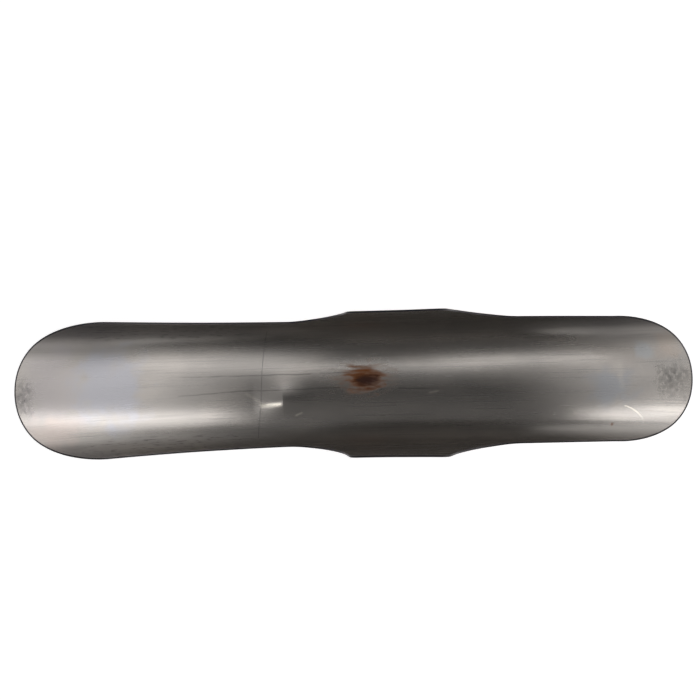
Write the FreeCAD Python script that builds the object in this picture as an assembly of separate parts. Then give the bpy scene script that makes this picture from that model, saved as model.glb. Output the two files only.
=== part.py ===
"""Motorcycle front fender: one pressed steel sheet, lying on its back with the hollow upward."""
import os
from math import acos, asin, cos, degrees, radians, sin, sqrt, tan

import FreeCAD
import Part

V = FreeCAD.Vector

# Sheet and its section across the width, in mm to the outer face; crown_radius is from the wheel axis
sheet = 2.0
crown_radius = 352.0
half_width = 64.5
crown_bend = 95.0
crown_half_angle = radians(23.0)
shoulder_angle = radians(80.0)
flank_bend = 210.0

# Ends, as angles about the wheel axis from the lowest point, and the length of their rounding
rear_tip = radians(54.5)
front_tip = radians(53.1)
rear_rounding = 67.0
front_rounding = 60.0
rounding_fullness = 0.655

# Depth of the skirt below the crown, beside the wing and where the end starts to round
rear_skirt_near = 30.5
rear_skirt_far = 32.0
front_skirt_near = 29.9
front_skirt_far = 22.0

# Wings, which reach up beside the wheel and narrow towards their straight edge
wing_angle = radians(8.4)
wing_length = 87.0
wing_height = 106.0
wing_corner = 7.0
rear_lean = radians(18.0)
front_lean = radians(11.0)
rear_fillet = 46.0
front_fillet = 46.0

# Room that the cutting shapes reach past the sheet
past = 12.0


def polar(radius, angle):
    """Point at an angle about the wheel axis, from the lowest point toward the front."""
    return V(radius * sin(angle), 0.0, crown_radius - radius * cos(angle))


def wing(u, v):
    """Point in the wing's own directions: u along its straight edge, v out from the wheel axis."""
    c, s = cos(wing_angle), sin(wing_angle)
    return V(u * c + v * s, 0.0, crown_radius + u * s - v * c)


# Section: a wide crown arc, a tighter shoulder each side, a flank that slowly turns upright, then a flat wall
upright = radians(90.0)
crown_y = crown_bend * sin(crown_half_angle)
crown_depth = crown_bend * (1.0 - cos(crown_half_angle))
flank_y = half_width - flank_bend * (1.0 - sin(shoulder_angle))
shoulder_bend = (flank_y - crown_y) / (sin(shoulder_angle) - sin(crown_half_angle))
flank_depth = crown_depth + shoulder_bend * (cos(crown_half_angle) - cos(shoulder_angle))


def shoulder(slope, side):
    """Point of the shoulder where the section has this slope."""
    y = crown_y + shoulder_bend * (sin(slope) - sin(crown_half_angle))
    return V(0.0, side * y, crown_depth + shoulder_bend * (cos(crown_half_angle) - cos(slope)))


def flank(slope, side):
    """Point of the flank where the section has this slope."""
    y = flank_y + flank_bend * (sin(slope) - sin(shoulder_angle))
    return V(0.0, side * y, flank_depth + flank_bend * (cos(shoulder_angle) - cos(slope)))


def width_at(depth):
    """Half-width of the shoulder or the flank at a depth below the crown."""
    if depth < flank_depth:
        return shoulder(acos(cos(crown_half_angle) - (depth - crown_depth) / shoulder_bend), 1.0).y
    return flank(acos(cos(shoulder_angle) - (depth - flank_depth) / flank_bend), 1.0).y


def bend(point, side, first, last):
    """Arc of the section between two slopes."""
    ends = point(first, side), point(last, side)
    return Part.Arc(ends[0], point((first + last) / 2.0, side), ends[1]).toShape()


def section_wire():
    """Outer line of the sheet across the width, with walls tall enough for the wings."""
    wall_top = wing_height + past
    crown = Part.Arc(shoulder(crown_half_angle, -1.0), V(0, 0, 0), shoulder(crown_half_angle, 1.0))
    edges = [crown.toShape()]
    for side in (-1.0, 1.0):
        edges.append(bend(shoulder, side, crown_half_angle, shoulder_angle))
        edges.append(bend(flank, side, shoulder_angle, upright))
        edges.append(Part.makeLine(flank(upright, side), V(0.0, side * half_width, wall_top)))
    return Part.Wire(Part.__sortEdges__(edges))


def blank():
    """Outer face of the sheet, turned about the wheel axis from past the rear tip to past the front tip."""
    over = past / crown_radius
    axis = V(0.0, 0.0, crown_radius)
    wire = section_wire()
    wire.rotate(axis, V(0, 1, 0), degrees(rear_tip + over))
    return wire.revolve(axis, V(0, -1, 0), degrees(rear_tip + front_tip + 2.0 * over))


def arc(centre, first, last):
    """Short arc about a centre, from one point to another."""
    radius = (first - centre).Length
    middle = (first + last) * 0.5 - centre
    return Part.Arc(first, centre + middle.normalize() * radius, last).toShape()


def skirt(side, tip, near, far, rounding, fillet, lean):
    """Edges of one skirt and its side of the wing, seen from the side, with its two loose points."""
    axis = wing(0.0, 0.0)
    toward = wing(1.0, 0.0) - axis
    out = wing(0.0, 1.0) - axis
    start = side * (tip - asin(rounding / (crown_radius - far)))
    end = side * (tip + 2.0 * past / crown_radius)
    beside = wing_angle + side * asin((wing_length / 2.0 + fillet) / (crown_radius - near))
    rounding_point = polar(crown_radius - far, start)
    half_way = polar(crown_radius - (near + far) / 2.0, (beside + start) / 2.0)
    bow = Part.Circle(polar(crown_radius - near, beside), half_way, rounding_point)
    corner = wing(side * wing_length / 2.0, crown_radius - wing_height)
    down = out * cos(lean) + toward * (side * sin(lean))
    beyond = toward * (side * cos(lean)) - out * sin(lean)
    start_of_centre = corner + beyond * fillet - bow.Center
    level = start_of_centre.dot(down)
    drop = sqrt((bow.Radius - fillet) ** 2 - start_of_centre.dot(beyond) ** 2) - level
    fillet_centre = bow.Center + start_of_centre + down * drop
    on_skirt = bow.Center + (fillet_centre - bow.Center) * (bow.Radius / (bow.Radius - fillet))
    on_wing = corner + down * drop
    corner_cut = wing_corner / tan((upright + lean) / 2.0)
    corner_side = corner + down * corner_cut
    corner_edge = corner - toward * (side * corner_cut)
    outer = polar(crown_radius + past, end)
    edges = [
        Part.makeLine(outer, polar(crown_radius - far, end)),
        arc(axis, polar(crown_radius - far, end), rounding_point),
        arc(bow.Center, rounding_point, on_skirt),
        arc(fillet_centre, on_skirt, on_wing),
        Part.makeLine(on_wing, corner_side),
        arc(corner_edge + out * wing_corner, corner_side, corner_edge),
    ]
    return edges, outer, corner_edge


def side_prism():
    """Everything kept, seen from the side: both skirts and the wing, drawn through the full width."""
    rear, rear_outer, rear_corner = skirt(
        -1.0, rear_tip, rear_skirt_near, rear_skirt_far, rear_rounding, rear_fillet, rear_lean
    )
    front, front_outer, front_corner = skirt(
        1.0, front_tip, front_skirt_near, front_skirt_far, front_rounding, front_fillet, front_lean
    )
    across = Part.makeLine(rear_corner, front_corner)
    under = Part.Arc(rear_outer, V(0.0, 0.0, -past), front_outer).toShape()
    face = Part.Face(Part.Wire(Part.__sortEdges__(rear + front + [across, under])))
    face.translate(V(0.0, -half_width - past, 0.0))
    return face.extrude(V(0.0, 2.0 * (half_width + past), 0.0))


def end_cutter(side, tip, far, rounding):
    """What is taken off one end, drawn flat at the tip and carried square through the sheet."""
    axis = wing(0.0, 0.0)
    out = (polar(crown_radius, side * tip) - axis).normalize()
    inward = V(0, 1, 0).cross(out) * side
    above = wing_height / 2.0
    half = width_at(far)
    wide = half_width + past

    def flat(x, y):
        return axis + out * (crown_radius - above) + inward * x + V(0.0, y, 0.0)

    edges = []
    for y in (half, -half):
        curve = Part.BezierCurve()
        slack = rounding * (1.0 - rounding_fullness)
        curve.setPoles([flat(0.0, 0.0), flat(0.0, y * rounding_fullness), flat(slack, y), flat(rounding, y)])
        edges.append(curve.toShape())
    rim = [
        flat(rounding, half),
        flat(rounding, wide),
        flat(-past, wide),
        flat(-past, -wide),
        flat(rounding, -wide),
        flat(rounding, -half),
    ]
    edges += Part.makePolygon(rim).Edges
    face = Part.Face(Part.Wire(Part.__sortEdges__(edges)))
    return face.extrude(out * (above + past))


def shell():
    """The trimmed outer face given its thickness inward, with every cut edge square to the sheet."""
    skin = blank().common(side_prism())
    skin = skin.cut(end_cutter(-1.0, rear_tip, rear_skirt_far, rear_rounding))
    skin = skin.cut(end_cutter(1.0, front_tip, front_skirt_far, front_rounding))
    return Part.makeShell(skin.Faces).makeOffsetShape(sheet, 0.001, fill=True)


# The origin is under the middle of the length, at the lowest point of the crown
fender = shell()
fender.translate(V(crown_radius * (sin(rear_tip) - sin(front_tip)) / 2.0, 0.0, 0.0))

os.makedirs("parts", exist_ok=True)
fender.exportStep("parts/fender_shell.step")
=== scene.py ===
"""Bare steel motorcycle fender lying on its back, seen from straight above."""
from math import atan2, cos, exp, hypot, pi, radians, sin

import bmesh
import bpy
import numpy as np
from mathutils import Matrix, Vector, geometry, kdtree, noise


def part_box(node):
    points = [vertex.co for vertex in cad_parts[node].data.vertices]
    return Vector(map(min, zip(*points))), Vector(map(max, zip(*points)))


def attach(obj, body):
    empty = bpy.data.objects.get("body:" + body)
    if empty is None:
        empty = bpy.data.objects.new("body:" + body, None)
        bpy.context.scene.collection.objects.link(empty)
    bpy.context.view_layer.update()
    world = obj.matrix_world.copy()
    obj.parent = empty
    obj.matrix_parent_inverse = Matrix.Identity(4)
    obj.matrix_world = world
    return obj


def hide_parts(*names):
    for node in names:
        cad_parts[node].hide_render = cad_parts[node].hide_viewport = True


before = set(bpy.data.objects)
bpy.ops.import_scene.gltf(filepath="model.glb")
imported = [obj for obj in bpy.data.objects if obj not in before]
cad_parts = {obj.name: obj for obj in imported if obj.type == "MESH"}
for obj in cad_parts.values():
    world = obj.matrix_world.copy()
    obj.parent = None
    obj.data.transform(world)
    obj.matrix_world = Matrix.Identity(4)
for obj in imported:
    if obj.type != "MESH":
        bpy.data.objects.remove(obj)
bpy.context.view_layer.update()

# The sheet's form, in metres, as the solid has it
NODE = "fender_shell"
SHEET = 0.002
CROWN_RADIUS = 0.352
CROWN_BEND = 0.095
CROWN_HALF_ANGLE = radians(23.0)
SHOULDER_ANGLE = radians(80.0)
FLANK_BEND = 0.210
REAR_TIP = radians(54.5)
FRONT_TIP = radians(53.1)
HALF_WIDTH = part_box(NODE)[1][1]
AXIS_X = CROWN_RADIUS * (sin(REAR_TIP) - sin(FRONT_TIP)) / 2

# Bends of the section from the middle outward: radius, and slope where the bend ends. A flat wall follows
flank_y = HALF_WIDTH - FLANK_BEND * (1 - sin(SHOULDER_ANGLE))
shoulder_rise = sin(SHOULDER_ANGLE) - sin(CROWN_HALF_ANGLE)
SHOULDER_BEND = (flank_y - CROWN_BEND * sin(CROWN_HALF_ANGLE)) / shoulder_rise
BENDS = ((CROWN_BEND, CROWN_HALF_ANGLE), (SHOULDER_BEND, SHOULDER_ANGLE), (FLANK_BEND, pi / 2))

# Fineness of the mesh: steps between its points, rounding of the cut edge, and how close points may come
RIM_STEP = 0.0012
GRID_STEP = 0.0024
DING_STEP = 0.0008
NORMAL_STEP = 0.0004
EDGE_ROUND = 0.00035
RIM_GAP = GRID_STEP * 0.6
RIM_SMOOTHINGS = 3
SAME_POINT = 1e-6
SAME_PLACE = 1e-7

# Share of its distances from the middle that takes a place on the rim a little way into the sheet
INTO_SHEET = 0.98

# Unevenness of the sheet: its height, and each wave's fineness along and across, its seed and its share
UNEVENNESS = 0.00012
WAVES = ((9, 16, 3.1, 1.0), (22, 40, 7.7, 0.5))

# A ding that deepens toward its front end: its places along the sheet, then its middle and reach each way
DING_START, DING_DEEPEST, DING_END = -0.1032, -0.0740, -0.0390
DING_MIDDLE, DING_LOW, DING_HIGH = -0.0154, 0.0119, 0.0140
DING_DEPTH = 0.0025
DING_CURVE = 1.27


def section(across):
    """Half-width, depth and slope of the outer face at a distance across the sheet from its middle."""
    side = -1 if across < 0 else 1
    left, slope, y, depth = abs(across), 0, 0, 0
    for radius, end in BENDS:
        turn = min(left / radius, end - slope)
        y += radius * (sin(slope + turn) - sin(slope))
        depth += radius * (cos(slope) - cos(slope + turn))
        left -= radius * turn
        slope += turn
    return side * (y + left * cos(slope)), depth + left * sin(slope), side * slope


def on_face(along, across):
    """Point and outward normal of the outer face at a place on the sheet."""
    y, depth, slope = section(across)
    turn = along / CROWN_RADIUS
    reach = CROWN_RADIUS - depth
    normal = Vector((cos(slope) * sin(turn), sin(slope), -cos(slope) * cos(turn)))
    return Vector((AXIS_X + reach * sin(turn), y, CROWN_RADIUS - reach * cos(turn))), normal


def place_of(point):
    """Place on the sheet, along and across, and depth below the outer face, of a point of the solid."""
    x, y, z = point
    side = -1 if y < 0 else 1
    along = CROWN_RADIUS * atan2(x - AXIS_X, CROWN_RADIUS - z)
    depth = CROWN_RADIUS - hypot(x - AXIS_X, CROWN_RADIUS - z)
    across, slope, bend_y, bend_depth = 0, 0, 0, 0
    for radius, end in BENDS:
        centre_y, centre_depth = bend_y - radius * sin(slope), bend_depth + radius * cos(slope)
        angle = atan2(abs(y) - centre_y, centre_depth - depth)
        if angle < end:
            below = radius - hypot(abs(y) - centre_y, centre_depth - depth)
            return along, side * (across + radius * (angle - slope)), below
        across += radius * (end - slope)
        bend_y, bend_depth, slope = centre_y + radius * sin(end), centre_depth - radius * cos(end), end
    return along, side * (across + depth - bend_depth), HALF_WIDTH - abs(y)


def rim_of_solid():
    """Loop of places on the sheet that the solid's outer rim goes through."""
    bm = bmesh.new()
    bm.from_mesh(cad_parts[NODE].data)
    bmesh.ops.remove_doubles(bm, verts=bm.verts, dist=SAME_POINT)
    inner = [v for v in bm.verts if place_of(v.co)[2] > SHEET / 2]
    bmesh.ops.delete(bm, geom=inner, context="VERTS")
    edge = next(e for e in bm.edges if e.is_boundary)
    start = vert = edge.verts[0]
    loop = []
    while True:
        loop.append(place_of(vert.co)[:2])
        vert = edge.other_vert(vert)
        if vert is start:
            break
        edge = next(e for e in vert.link_edges if e.is_boundary and e is not edge)
    bm.free()
    return np.array(loop)


def even_loop(loop):
    """The loop with its points evenly spaced along the real edge, and the solid's facets smoothed out."""
    closed = np.vstack([loop, loop[:1]])
    points = np.array([on_face(*p)[0] for p in closed])
    run = np.concatenate([[0], np.cumsum(np.linalg.norm(np.diff(points, axis=0), axis=1))])
    count = round(run[-1] / RIM_STEP)
    at = np.arange(count) * run[-1] / count
    even = np.stack([np.interp(at, run, closed[:, i]) for i in (0, 1)], 1)
    for _ in range(RIM_SMOOTHINGS):
        even = even / 2 + (np.roll(even, 1, axis=0) + np.roll(even, -1, axis=0)) / 4
    return even


def inside(points, loop):
    """Which points lie within the loop."""
    x, y = points.T
    within = np.zeros(len(points), bool)
    for (x0, y0), (x1, y1) in zip(loop, np.roll(loop, -1, axis=0)):
        if y0 != y1:
            within ^= ((y0 > y) != (y1 > y)) & (x < (x1 - x0) * (y - y0) / (y1 - y0) + x0)
    return within


def lattice(low, high, step):
    """Evenly spaced places between two corners."""
    along, across = np.meshgrid(*(np.arange(low[i], high[i], step) for i in (0, 1)))
    return np.stack([along.ravel(), across.ravel()], 1)


def grid_within(loop):
    """Places inside the loop, clear of its edge, and closer together round the ding."""
    points = lattice(loop.min(0), loop.max(0), GRID_STEP)
    points = points[inside(points, loop)]
    low = np.array([DING_START, DING_MIDDLE - 1.5 * DING_LOW])
    high = np.array([DING_DEEPEST + 3 * GRID_STEP, DING_MIDDLE + DING_HIGH])
    near = ((points > low - DING_STEP) & (points < high)).all(1)
    points = np.vstack([points[~near], lattice(low, high, DING_STEP)])
    tree = kdtree.KDTree(len(loop))
    for i, p in enumerate(loop):
        tree.insert((p[0], p[1], 0), i)
    tree.balance()
    return np.array([p for p in points if tree.find((p[0], p[1], 0))[2] > RIM_GAP])


def ding(along, across):
    """Depth of the ding at a place on the sheet."""
    if not DING_START < along < DING_END:
        return 0.0
    if along < DING_DEEPEST:
        share = ((along - DING_START) / (DING_DEEPEST - DING_START)) ** DING_CURVE
    else:
        share = (1 + cos(pi * (along - DING_DEEPEST) / (DING_END - DING_DEEPEST))) / 2
    aside = (across - DING_MIDDLE) / (DING_LOW if across < DING_MIDDLE else DING_HIGH)
    return DING_DEPTH * share * exp(-(aside**2))


def uneven_point(along, across):
    """Point of the outer face of the real sheet, which waves a little and has the ding."""
    point, normal = on_face(along, across)
    wave = sum(share * noise.noise((along * a, across * c, seed)) for a, c, seed, share in WAVES)
    return point - normal * (UNEVENNESS * wave - ding(along, across))


def on_sheet(along, across):
    """Point and outward normal of the outer face of the real sheet."""
    point = uneven_point(along, across)
    ahead = uneven_point(along + NORMAL_STEP, across) - point
    beside = uneven_point(along, across + NORMAL_STEP) - point
    normal = ahead.cross(beside).normalized()
    return point, normal if normal.dot(on_face(along, across)[1]) > 0 else -normal


def edge_directions(places, points, count):
    """Directions in the sheet, from each point of its edge towards its middle."""
    directions = []
    for i in range(count):
        run = points[(i + 1) % count][0] - points[(i - 1) % count][0]
        side = points[i][1].cross(run).normalized()
        within = on_face(*(places[i] * INTO_SHEET))[0]
        directions.append(side if side.dot(within - points[i][0]) > 0 else -side)
    return directions


def layers(places, points, into):
    """Points, normals and places in mm of the two faces, outer first, then of two lines on the cut edge."""
    verts, normals, sheet = [], [], []

    def add(i, vert, normal, depth):
        verts.append(vert)
        normals.append(normal)
        sheet.append((places[i][0] * 1000, places[i][1] * 1000, depth / SHEET))

    for depth, facing in ((0, 1), (SHEET, -1)):
        for i, (point, normal) in enumerate(points):
            back = into[i] * EDGE_ROUND if i < len(into) else Vector()
            add(i, point - normal * depth + back, normal * facing, depth)
    for depth in (EDGE_ROUND, SHEET - EDGE_ROUND):
        for i, direction in enumerate(into):
            add(i, points[i][0] - points[i][1] * depth, -direction, depth)
    return verts, normals, sheet


def sheet_mesh():
    """The pressed sheet: both faces, and a cut edge with slightly rounded corners."""
    loop = even_loop(rim_of_solid())
    places = np.vstack([loop, grid_within(loop)])
    count, total = len(loop), len(places)
    ring = [(i, (i + 1) % count) for i in range(count)]
    flat = [Vector(p) for p in places]
    faces = geometry.delaunay_2d_cdt(flat, ring, [list(range(count))], 1, SAME_PLACE)[2]
    points = [on_sheet(*p) for p in places]
    verts, normals, sheet = layers(places, points, edge_directions(places, points, count))
    polygons = [tuple(f) for f in faces] + [tuple(total + i for i in reversed(f)) for f in faces]
    rings = (0, 2 * total, 2 * total + count, total)
    for first, second in zip(rings, rings[1:]):
        polygons += [(first + b, first + a, second + a, second + b) for a, b in ring]
    mesh = bpy.data.meshes.new("fender_sheet")
    mesh.from_pydata(verts, [], polygons)
    cut = [0.0] * (2 * total) + [1.0] * (2 * count)
    mesh.attributes.new("sheet", "FLOAT_VECTOR", "POINT").data.foreach_set("vector", np.ravel(sheet))
    mesh.attributes.new("cut_edge", "FLOAT", "POINT").data.foreach_set("value", cut)
    bm = bmesh.new()
    bm.from_mesh(mesh)
    bmesh.ops.recalc_face_normals(bm, faces=bm.faces)
    bm.to_mesh(mesh)
    bm.free()
    mesh.shade_smooth()
    mesh.normals_split_custom_set_from_vertices(normals)
    return mesh


class Nodes:
    """Short ways to add nodes to one tree. A value is a number, a vector, a colour or a node's output."""

    def __init__(self, tree):
        self.tree = tree

    def put(self, value, socket):
        if isinstance(value, bpy.types.NodeSocket):
            self.tree.links.new(value, socket)
        else:
            socket.default_value = value

    def add(self, kind, *values, **settings):
        node = self.tree.nodes.new("ShaderNode" + kind)
        for name, setting in settings.items():
            setattr(node, name, setting)
        for socket, value in zip(node.inputs, values):
            self.put(value, socket)
        return node

    def math(self, operation, *values):
        return self.add("Math", *values, operation=operation).outputs[0]

    def product(self, first, *others):
        for other in others:
            first = self.math("MULTIPLY", first, other)
        return first

    def highest(self, first, *others):
        for other in others:
            first = self.math("MAXIMUM", first, other)
        return first

    def vector(self, operation, *values):
        node = self.add("VectorMath", *values, operation=operation)
        return node.outputs["Value" if operation in ("DOT_PRODUCT", "DISTANCE", "LENGTH") else "Vector"]

    def split(self, value):
        return self.add("SeparateXYZ", value).outputs[:]

    def ramp(self, value, low, high, bottom=0.0, top=1.0):
        """Smooth change from the bottom, where the value is low, to the top, where it is high."""
        node = self.add("MapRange", value, low, high, bottom, top, interpolation_type="SMOOTHSTEP")
        return node.outputs[0]

    def mix(self, factor, first, second):
        node = self.tree.nodes.new("ShaderNodeMix")
        node.data_type = "RGBA"
        sockets = node.inputs[0], node.inputs[6], node.inputs[7]
        for value, socket in zip((factor, first, second), sockets):
            self.put(value, socket)
        return node.outputs[2]


# Marks on the hollow side, in mm along the sheet from its lowest point and across it from its middle.
# A line is the places it goes through, and an oval is its middle and its half sizes
SCRIBE = ((-91, 57), (-94, 14), (-96, -20), (-102, -56))
# Creases, darkened along their length with painted shade
CREASES = (
    ((-204, 10.5), (-120, 10), (-7, 11)),
    ((-176, -8), (-115, -5), (-17, -4)),
    ((42, -6), (81, -7)),
)
# The ding's tail and its shine are painted highlights
DING_TAIL_HIGHLIGHT = ((-109, -8), (-95, -17))
DING_SHINE = ((-95, -21), (-77.5, -20.5))
CRESCENT = ((263, -25), (270, -27.5), (276, -31), (281, -35.5), (284, -41))
STAIN_EDGE = ((214, 33), (232, 24), (258, 12), (260, -6))
# Two short painted glints
GLINTS = (((-61, -31), (-55, -28.5)), ((72, -11), (80, -9.5)))
RED_SPOT = ((253, -43), (1.8, 2.8))
RUST = ((6, 3), (25, 18))
RUST_CORE = ((9, 1.5), (19, 10))
RUST_STAIN = ((6, 3), (40, 22))
RUST_ARC = ((-6, -4), (10, -8), (28, -2))
SMUDGES = (((-327, -4), (13, 22)), ((308, -2), (22, 24)))
TINTS = (
    (((-300, 0), (40, 60)), (0.480, 0.447, 0.440, 1)),
    (((-245, 2), (46, 52)), (0.458, 0.456, 0.490, 1)),
    (((-300, -38), (36, 22)), (0.530, 0.462, 0.425, 1)),
    (((248, -8), (32, 22)), (0.415, 0.420, 0.438, 1)),
    (((262, 24), (36, 17)), (0.450, 0.415, 0.385, 1)),
    (((283, 25), (12, 11)), (0.480, 0.486, 0.490, 1)),
    (((306, 29), (17, 17)), (0.520, 0.455, 0.400, 1)),
)

# Where layers come in and go out, in mm along or across the sheet. Upper is the +Y side, up in the picture
# The next four lines place the painted shade on the shoulders, the upper side and the tips
SHOULDER_IN, SHOULDER_OUT = (40.0, 54.0), (78.0, 64.0)
UPPER_IN = (38.0, 54.0)
UPPER_GAP_MIDDLE, UPPER_GAP_END = 45.0, (90.0, 160.0)
TIPS_IN, TIPS_ALONG = (26.0, 38.0), (200.0, 265.0)
LINES_IN = (-215.0, -120.0)
SCRIBBLE_IN, SCRIBBLE_OUT, SCRIBBLE_ACROSS = (-295.0, -270.0), (-80.0, -130.0), (44.0, 52.0)
CRESCENT_OUT = (290.0, 268.0)

# Colours of the sheet
DARK_STEEL = (0.445, 0.418, 0.393, 1)
PALE_STEEL = (0.505, 0.470, 0.437, 1)
STREAK = (0.36, 0.34, 0.325, 1)
# Dark colour of dirt and of the scribed line, also used for painted shade on the shoulders, tips and
# creases
DIRT_AND_SHADE = (0.085, 0.080, 0.080, 1)
PALE_SCRATCH_AND_HIGHLIGHT = (0.90, 0.84, 0.74, 1)
ORANGE_RUST = (0.33, 0.112, 0.024, 1)
DARK_RUST = (0.070, 0.020, 0.009, 1)
CUT_EDGE = (0.055, 0.050, 0.055, 1)


class SheetNodes(Nodes):
    """Nodes of the steel, with places on the sheet in mm and the patterns that several layers share."""

    def __init__(self, tree):
        super().__init__(tree)
        self.sheet = self.add("Attribute", attribute_name="sheet").outputs["Vector"]
        self.along, self.across, depth = self.split(self.sheet)
        self.aside = self.math("ABSOLUTE", self.across)
        self.hollow = self.ramp(depth, 0.4, 0.6)
        self.at = self.vector("MULTIPLY", self.sheet, (1, 1, 0))
        drift = self.add("TexNoise", self.at, 0.0, 0.05).outputs["Color"]
        self.wander = self.vector("ADD", self.at, self.vector("MULTIPLY", drift, (2, 2, 0)))
        self.streak = self.pattern((0.012, 0.55, 9), 4.0)
        self.patch = self.math("MULTIPLY_ADD", self.pattern((0.06, 0.06, 3), 4.0), 1.6, -0.8)
        self.streaky = self.math("MULTIPLY_ADD", self.pattern((0.07, 0.24, 2), 6.0), 1.5, -0.75)

    def pattern(self, fineness, detail):
        """Noise with its own fineness along and across the sheet, and from one face to the other."""
        at = self.vector("MULTIPLY", self.sheet, fineness)
        return self.add("TexNoise", at, 0.0, 1.0, detail).outputs[0]

    def blot(self, oval, ragged, soft):
        """1 in the middle of an uneven oval, falling to 0 at its rim."""
        centre, half = oval
        off = self.vector("DIVIDE", self.vector("SUBTRACT", self.at, (*centre, 0)), (*half, 1))
        return self.ramp(self.math("ADD", self.vector("LENGTH", off), ragged), 1.0, 1.0 - soft)

    def stroke(self, at, places, width, core=0.3):
        """1 on a line through the places and in the core of its width, falling to 0 at its width."""
        lines = []
        for start, end in zip(places, places[1:]):
            run = Vector((*end, 0)) - Vector((*start, 0))
            off = self.vector("SUBTRACT", at, (*start, 0))
            share = self.math("DIVIDE", self.vector("DOT_PRODUCT", off, run), run.length_squared)
            share = self.math("MINIMUM", self.math("MAXIMUM", share, 0.0), 1.0)
            far = self.vector("DISTANCE", off, self.vector("MULTIPLY", run, share))
            lines.append(self.ramp(far, width, width * core))
        return self.highest(*lines)


def rolled_colour(n):
    """Steel as it was rolled, clouded and streaked, with the faint tints of its hollow."""
    cloud = n.pattern((0.016, 0.026, 5), 5.0)
    colour = n.mix(n.ramp(cloud, 0.35, 0.65), DARK_STEEL, PALE_STEEL)
    colour = n.mix(n.ramp(n.streak, 0.52, 0.72, 0.0, 0.5), colour, STREAK)
    for oval, tint in TINTS:
        colour = n.mix(n.product(n.blot(oval, n.patch, soft=0.7), n.hollow, 0.85), colour, tint)
    return colour


def painted_shoulder_shade(n):
    """Painted shade on both shoulders and the upper tips, stronger on the upper side past the wings."""
    from_gap = n.math("ABSOLUTE", n.math("SUBTRACT", n.along, UPPER_GAP_MIDDLE))
    upper = n.product(n.ramp(n.across, *UPPER_IN), n.ramp(from_gap, *UPPER_GAP_END))
    shoulders = n.product(n.ramp(n.aside, *SHOULDER_IN), n.ramp(n.aside, *SHOULDER_OUT), n.hollow)
    shoulders = n.product(shoulders, n.math("MULTIPLY_ADD", upper, 0.35, 0.3))
    far = n.ramp(n.math("ABSOLUTE", n.along), *TIPS_ALONG)
    tips = n.product(n.ramp(n.across, *TIPS_IN), far, n.hollow, 0.45)
    return n.math("ADD", shoulders, n.product(tips, n.math("SUBTRACT", 1.0, shoulders)))


def stain_edge(n):
    """The broken pale edge of a dried stain near the front end."""
    broken = n.ramp(n.patch, -0.25, 0.2)
    return n.product(n.stroke(n.wander, STAIN_EDGE, width=4.0), broken, n.hollow, 0.09)


def dark_lines(n):
    """The scribed line across the sheet, and painted shade along broken creases that run along it."""
    lines = n.product(n.stroke(n.at, SCRIBE, width=0.8), 0.65)
    for crease in CREASES:
        broken = n.ramp(n.patch, -0.4, 0.1)
        lines = n.highest(lines, n.product(n.stroke(n.wander, crease, width=1.0), broken, 0.8))
    return n.product(lines, n.ramp(n.along, *LINES_IN), n.hollow, 0.5)


def loose_dirt(n):
    """Fine scribble along the rear edges, and a speckled smudge at each tip."""
    scribble = n.ramp(n.pattern((0.09, 0.50, 8), 4.0), 0.52, 0.66)
    rear = n.product(n.ramp(n.along, *SCRIBBLE_IN), n.ramp(n.along, *SCRIBBLE_OUT))
    dirt = n.product(scribble, rear, n.ramp(n.aside, *SCRIBBLE_ACROSS), 0.45)
    grain = n.ramp(n.pattern((0.9, 0.9, 6), 2.0), 0.30, 0.70, 0.4, 1.0)
    specks = n.product(n.ramp(n.pattern((0.26, 0.22, 4), 2.0), 0.32, 0.72), grain)
    for oval in SMUDGES:
        dirt = n.highest(dirt, n.product(n.blot(oval, n.patch, soft=1.0), specks, 0.8))
    return n.product(dirt, n.hollow)


def scratches_and_highlights(n):
    """The crescent scratch at the front end, and painted highlights: the tail of the ding and two short
    glints.
    """
    bright = n.product(n.stroke(n.at, CRESCENT, width=0.9), n.ramp(n.along, *CRESCENT_OUT), 0.8)
    bright = n.highest(bright, n.product(n.stroke(n.wander, DING_TAIL_HIGHLIGHT, width=2.2), 0.35))
    for glint in GLINTS:
        bright = n.highest(bright, n.stroke(n.wander, glint, width=1.4))
    return n.product(bright, n.hollow, 0.65)


def rust_layers(n):
    """The rust spot at the lowest point, its darker core, and the stain that spreads round it."""
    arc = n.product(n.stroke(n.wander, RUST_ARC, width=3.2), n.ramp(n.streaky, 0.5, -0.2), 0.85)
    rust = n.product(n.blot(RUST, n.streaky, soft=0.75), n.hollow)
    rust = n.highest(rust, n.product(arc, n.hollow))
    core = n.highest(n.blot(RUST_CORE, n.streaky, soft=0.8), n.product(arc, 0.6))
    stain = n.product(n.blot(RUST_STAIN, n.streaky, soft=0.9), n.hollow)
    return rust, core, stain


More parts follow.
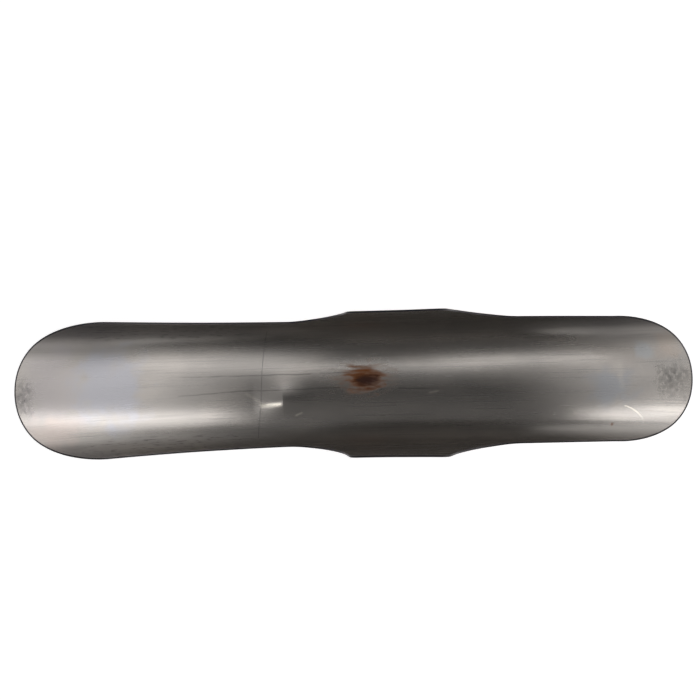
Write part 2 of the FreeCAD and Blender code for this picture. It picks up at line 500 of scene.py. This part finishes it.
def steel():
    """Bare rolled steel with stains, scratches, dirt and rust in its hollow, painted shade and highlights,
    and dark cut edges.
    """
    material = bpy.data.materials.new("bare_steel")
    material.use_nodes = True
    n = SheetNodes(material.node_tree)
    painted_shade, lines, dirt = painted_shoulder_shade(n), dark_lines(n), loose_dirt(n)
    rust, core, stain = rust_layers(n)
    spot = n.product(n.blot(RED_SPOT, 0.0, soft=0.9), n.hollow, 0.7)
    # Painted highlight of the ding's glint, which also makes the steel smoother there
    polish_and_highlight = n.product(n.stroke(n.at, DING_SHINE, width=4.0, core=0.0), n.hollow)
    cut = n.add("Attribute", attribute_name="cut_edge").outputs["Fac"]

    # Painted shade on the shoulders and upper tips, in the dark colour that dirt also uses
    colour = n.mix(painted_shade, rolled_colour(n), DIRT_AND_SHADE)
    colour = n.mix(stain_edge(n), colour, PALE_SCRATCH_AND_HIGHLIGHT)
    # The scribed line, and painted shade along the creases
    colour = n.mix(lines, colour, DIRT_AND_SHADE)
    colour = n.mix(dirt, colour, DIRT_AND_SHADE)
    # Bright scratches, and painted highlights at the ding and at the two glints
    colour = n.mix(n.highest(scratches_and_highlights(n), n.product(polish_and_highlight, 0.8)), colour, PALE_SCRATCH_AND_HIGHLIGHT)
    colour = n.mix(n.product(stain, 0.3), colour, ORANGE_RUST)
    rust_colour = n.mix(n.highest(core, spot), ORANGE_RUST, DARK_RUST)
    colour = n.mix(n.highest(rust, spot), colour, rust_colour)
    colour = n.mix(cut, colour, CUT_EDGE)

    cover = n.highest(n.product(rust, 0.95), n.product(dirt, 0.6), n.product(stain, 0.2))
    roughness = n.math("MULTIPLY_ADD", n.streak, 0.10, 0.21)
    roughness = n.math("MULTIPLY_ADD", polish_and_highlight, -0.14, n.math("MULTIPLY_ADD", cover, 0.5, roughness))
    roughness = n.math("ADD", roughness, n.math("MULTIPLY_ADD", painted_shade, 0.25, n.product(cut, 0.2)))

    brushed = n.pattern((0.02, 0.9, 7), 2.0)
    speckle = n.ramp(n.pattern((0.35, 0.30, 4), 8.0), 0.40, 0.75)
    height = n.math("MULTIPLY_ADD", lines, -3.0, n.math("MULTIPLY_ADD", rust, speckle, brushed))

    shader = material.node_tree.nodes["Principled BSDF"]
    n.put(colour, shader.inputs["Base Color"])
    n.put(n.math("MULTIPLY_ADD", cover, -0.88, 0.88), shader.inputs["Metallic"])
    n.put(roughness, shader.inputs["Roughness"])
    n.put(n.add("Bump", 0.25, 0.00002, 1.0, height).outputs[0], shader.inputs["Normal"])
    return material


fender = bpy.data.objects.new("fender_sheet", sheet_mesh())
bpy.context.collection.objects.link(fender)
fender.data.materials.append(steel())
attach(fender, "root")
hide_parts(NODE)


def strip_lamp(name, start, end, width, radiance):
    """A long soft lamp between two points, facing the fender and as bright as its radiance all over."""
    start, end = Vector(start), Vector(end)
    length = (end - start).length
    along = (end - start) / length
    back = (start + end) / 2
    back = (back - along * back.dot(along)).normalized()
    light = bpy.data.lights.new(name, "AREA")
    light.shape = "RECTANGLE"
    light.size, light.size_y = length, width
    light.energy = radiance * pi * length * width
    ob = bpy.data.objects.new(name, light)
    ob.matrix_world = Matrix((along, back.cross(along), back)).transposed().to_4x4()
    ob.location = (start + end) / 2
    bpy.context.collection.objects.link(ob)


strip_lamp("tube_middle", (-0.45, -0.45, 1.35), (0.45, -0.48, 1.35), width=0.16, radiance=1.04)
strip_lamp("tube_front", (0.30, -0.60, 1.35), (2.3, -1.45, 1.35), width=0.55, radiance=0.80)
strip_lamp("tube_rear", (-0.45, -0.50, 1.35), (-3.0, -1.35, 1.35), width=0.34, radiance=1.05)
strip_lamp("lamp_front", (0.52, 0.64, 0.90), (1.70, 0.64, 0.05), width=0.27, radiance=2.0)
strip_lamp("lamp_rear", (-1.05, 0.88, 0.60), (-1.75, 0.88, 0.05), width=0.28, radiance=2.9)


def studio():
    """Soft surroundings: a pale wall at each end, a pale line low down all round, and a dim ceiling."""
    world = bpy.data.worlds.new("studio")
    bpy.context.scene.world = world
    world.use_nodes = True
    n = Nodes(world.node_tree)
    x, y, z = n.split(n.add("TexCoord").outputs["Generated"])
    front_wall = n.product(n.ramp(x, 0.40, 0.85, top=0.78), n.ramp(y, -0.90, -0.20, bottom=0.10))
    rear_wall = n.product(n.ramp(x, -0.66, -0.98, top=0.66), n.ramp(y, -0.90, -0.30, bottom=0.3))
    upper_side = n.ramp(y, 0.0, 0.6, bottom=0.02, top=0.14)
    ceiling = n.product(n.ramp(y, 0.20, -0.30, top=0.24), n.ramp(y, -0.52, -0.36), n.ramp(z, 0.05, 0.35))
    front_glow = n.ramp(x, 0.15, 0.50, top=0.07)
    low_line = n.ramp(z, 0.17, 0.08, top=0.9)
    total = front_wall
    for light in (rear_wall, upper_side, ceiling, front_glow):
        total = n.math("ADD", total, light)
    n.put(n.highest(total, low_line), world.node_tree.nodes["Background"].inputs["Strength"])
    world.node_tree.nodes["Background"].inputs["Color"].default_value = (1, 1, 1, 1)


studio()

# The table's side in metres, and how much it glows where it is seen, straight or mirrored
TABLE_SIZE = 40
TABLE_GLOW = 0.70


def floor():
    """A white table that keeps the shadow."""
    bpy.ops.mesh.primitive_plane_add(size=TABLE_SIZE)
    ob = bpy.context.object
    ob.name = "table"
    material = bpy.data.materials.new("table")
    material.use_nodes = True
    n = Nodes(material.node_tree)
    shader = material.node_tree.nodes["Principled BSDF"]
    shader.inputs["Base Color"].default_value = (0.9, 0.9, 0.9, 1)
    shader.inputs["Roughness"].default_value = 0.9
    shader.inputs["Emission Color"].default_value = (1, 1, 1, 1)
    path = n.add("LightPath").outputs
    seen = n.highest(path["Is Camera Ray"], path["Is Glossy Ray"], path["Is Transmission Ray"])
    n.put(n.product(seen, TABLE_GLOW), shader.inputs["Emission Strength"])
    ob.data.materials.append(material)


floor()

# The camera looks almost straight down. Its sensor is in mm, its picture and focal length are in pixels
SENSOR_WIDTH = 36
PICTURE_SIDE = 700
FOCAL_LENGTH = 980
camera = bpy.data.objects.new("camera", bpy.data.cameras.new("camera"))
camera.data.sensor_width = SENSOR_WIDTH
camera.data.lens = SENSOR_WIDTH * FOCAL_LENGTH / PICTURE_SIDE
camera.location = (0.0097, 0.0195, 0.9641)
camera.rotation_mode = "ZXY"
camera.rotation_euler = (radians(0.72), radians(0.82), radians(-1.35))
bpy.context.collection.objects.link(camera)
bpy.context.scene.camera = camera

bpy.context.scene.view_settings.view_transform = "Standard"
